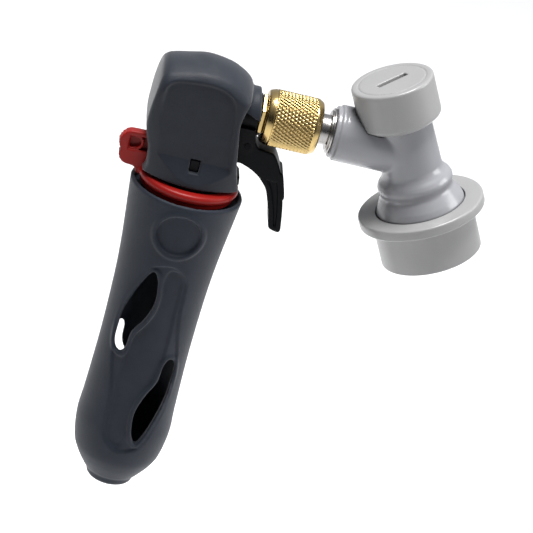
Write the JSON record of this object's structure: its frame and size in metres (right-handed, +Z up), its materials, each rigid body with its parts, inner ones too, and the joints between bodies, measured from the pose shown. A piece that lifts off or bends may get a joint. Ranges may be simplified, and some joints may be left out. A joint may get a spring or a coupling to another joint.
{
  "type": "handheld keg charger",
  "caption": "Hand-held CO2 keg charger: trigger valve head on a screw-on cartridge-holder handle, with a safety ring, a knurled swivel nut and a gas ball-lock quick disconnect.",
  "frame": {"origin": "on the handle's axis, in the plane of the cartridge holder's rim, where the cartridge thread opens", "axes": "+Z up the handle to the valve head, +X along the brass outlet to the disconnect, +Y completes the right-handed frame; the part is held by its keg post socket"},
  "size_m": [0.1067, 0.0377, 0.1454],
  "materials": {
    "valve_polymer": "fine matte, glass-filled black nylon",
    "head_shell": "dark slate, fine spark texture",
    "holder_shell": "dark slate, soft-touch satin",
    "red_ring": "satin moulded red",
    "trigger_plastic": "semi-gloss black",
    "brass": "machined, bright",
    "stainless": "turned and polished stainless",
    "steel": "bright drawn",
    "blackened_steel": "oil-blackened drawn pin",
    "grey_body": "light grey acetal, slight sheen",
    "grey_cap": "light grey acetal, warmer",
    "poppet_plastic": "natural acetal",
    "nylon": "natural nylon",
    "rubber": "black nitrile"
  },
  "bodies": {
    "disconnect": {"disconnect_body": "grey_body", "disconnect_cap": "grey_cap", "cap_oring": "rubber", "flare_fitting": "stainless", "collar_clip": "steel", "collar_spring": "steel", "poppet_spring": "steel"},
    "collar": {"locking_collar": "grey_cap"},
    "ball_1": {"locking_ball_1": "steel"},
    "ball_2": {"locking_ball_2": "steel"},
    "ball_3": {"locking_ball_3": "steel"},
    "poppet": {"poppet": "poppet_plastic", "poppet_seal": "rubber"},
    "head": {"head_cover": "head_shell", "valve_body": "valve_polymer", "cartridge_seal": "rubber", "piercing_pin": "steel", "valve_plug": "brass", "valve_spring": "steel", "stem_oring": "rubber", "stem_gland": "brass", "trigger_pin": "blackened_steel", "outlet_adapter": "brass", "adapter_seal": "rubber", "swivel_stem": "brass", "flare_washer": "nylon"},
    "nut": {"knurled_nut": "brass"},
    "trigger": {"trigger": "trigger_plastic"},
    "stem": {"valve_stem": "steel", "stem_seal": "rubber"},
    "ring": {"safety_ring": "red_ring"},
    "pad": {"cartridge_pad": "rubber"},
    "holder": {"cartridge_holder": "holder_shell"}
  },
  "joints": [
    {"name": "outlet_swivel", "type": "hinge", "parent": "disconnect", "child": "head", "pos_m": [0, 0, 0.0256], "axis": [1, 0, 0], "continuous": true},
    {"name": "nut_spin", "type": "hinge", "parent": "head", "child": "nut", "pos_m": [0, 0, 0.0256], "axis": [1, 0, 0], "continuous": true},
    {"name": "trigger_pull", "type": "hinge", "parent": "head", "child": "trigger", "pos_m": [0.0126, 0, 0.018], "axis": [0, 1, 0], "range_deg": [0, 12], "stiffness_Nm_per_rad": 0.5, "springref_deg": -5.73, "deforming": ["valve_spring"]},
    {"name": "stem_slide", "type": "slide", "parent": "head", "child": "stem", "axis": [-1, 0, 0], "range_m": [0, 0.00125]},
    {"name": "ring_turn", "type": "hinge", "parent": "head", "child": "ring", "pos_m": [0, 0, 0], "axis": [0, 0, 1], "range_deg": [-70, 0]},
    {"name": "holder_advance", "type": "slide", "parent": "head", "child": "pad", "axis": [0, 0, -1], "range_m": [0, 0.0091]},
    {"name": "holder_turn", "type": "hinge", "parent": "pad", "child": "holder", "pos_m": [0, 0, 0], "axis": [0, 0, -1], "range_deg": [0, 1620]},
    {"name": "collar_lift", "type": "slide", "parent": "disconnect", "child": "collar", "axis": [-0.4648, 0, 0.8854], "range_m": [0, 0.0034], "stiffness_N_per_m": 800, "springref_m": -0.004, "deforming": ["collar_spring"]},
    {"name": "poppet_slide", "type": "slide", "parent": "disconnect", "child": "poppet", "axis": [-0.4648, 0, 0.8854], "range_m": [0, 0.0025], "stiffness_N_per_m": 400, "springref_m": -0.004, "deforming": ["poppet_spring"]},
    {"name": "ball_1_slide", "type": "slide", "parent": "disconnect", "child": "ball_1", "axis": [0.7668, 0.5, 0.4026], "range_m": [0, 0.0009]},
    {"name": "ball_2_slide", "type": "slide", "parent": "disconnect", "child": "ball_2", "axis": [-0.7668, 0.5, -0.4026], "range_m": [0, 0.0009]},
    {"name": "ball_3_slide", "type": "slide", "parent": "disconnect", "child": "ball_3", "axis": [0, -1, 0], "range_m": [0, 0.0009]}
  ],
  "couplings": [
    {"joint": "stem_slide", "follows": "trigger_pull", "m_per_rad": 0.0057296},
    {"joint": "holder_advance", "follows": "holder_turn", "m_per_rad": 0.00031831},
    {"joint": "ball_1_slide", "follows": "collar_lift", "ratio": 0.25},
    {"joint": "ball_2_slide", "follows": "collar_lift", "ratio": 0.25},
    {"joint": "ball_3_slide", "follows": "collar_lift", "ratio": 0.25}
  ]
}
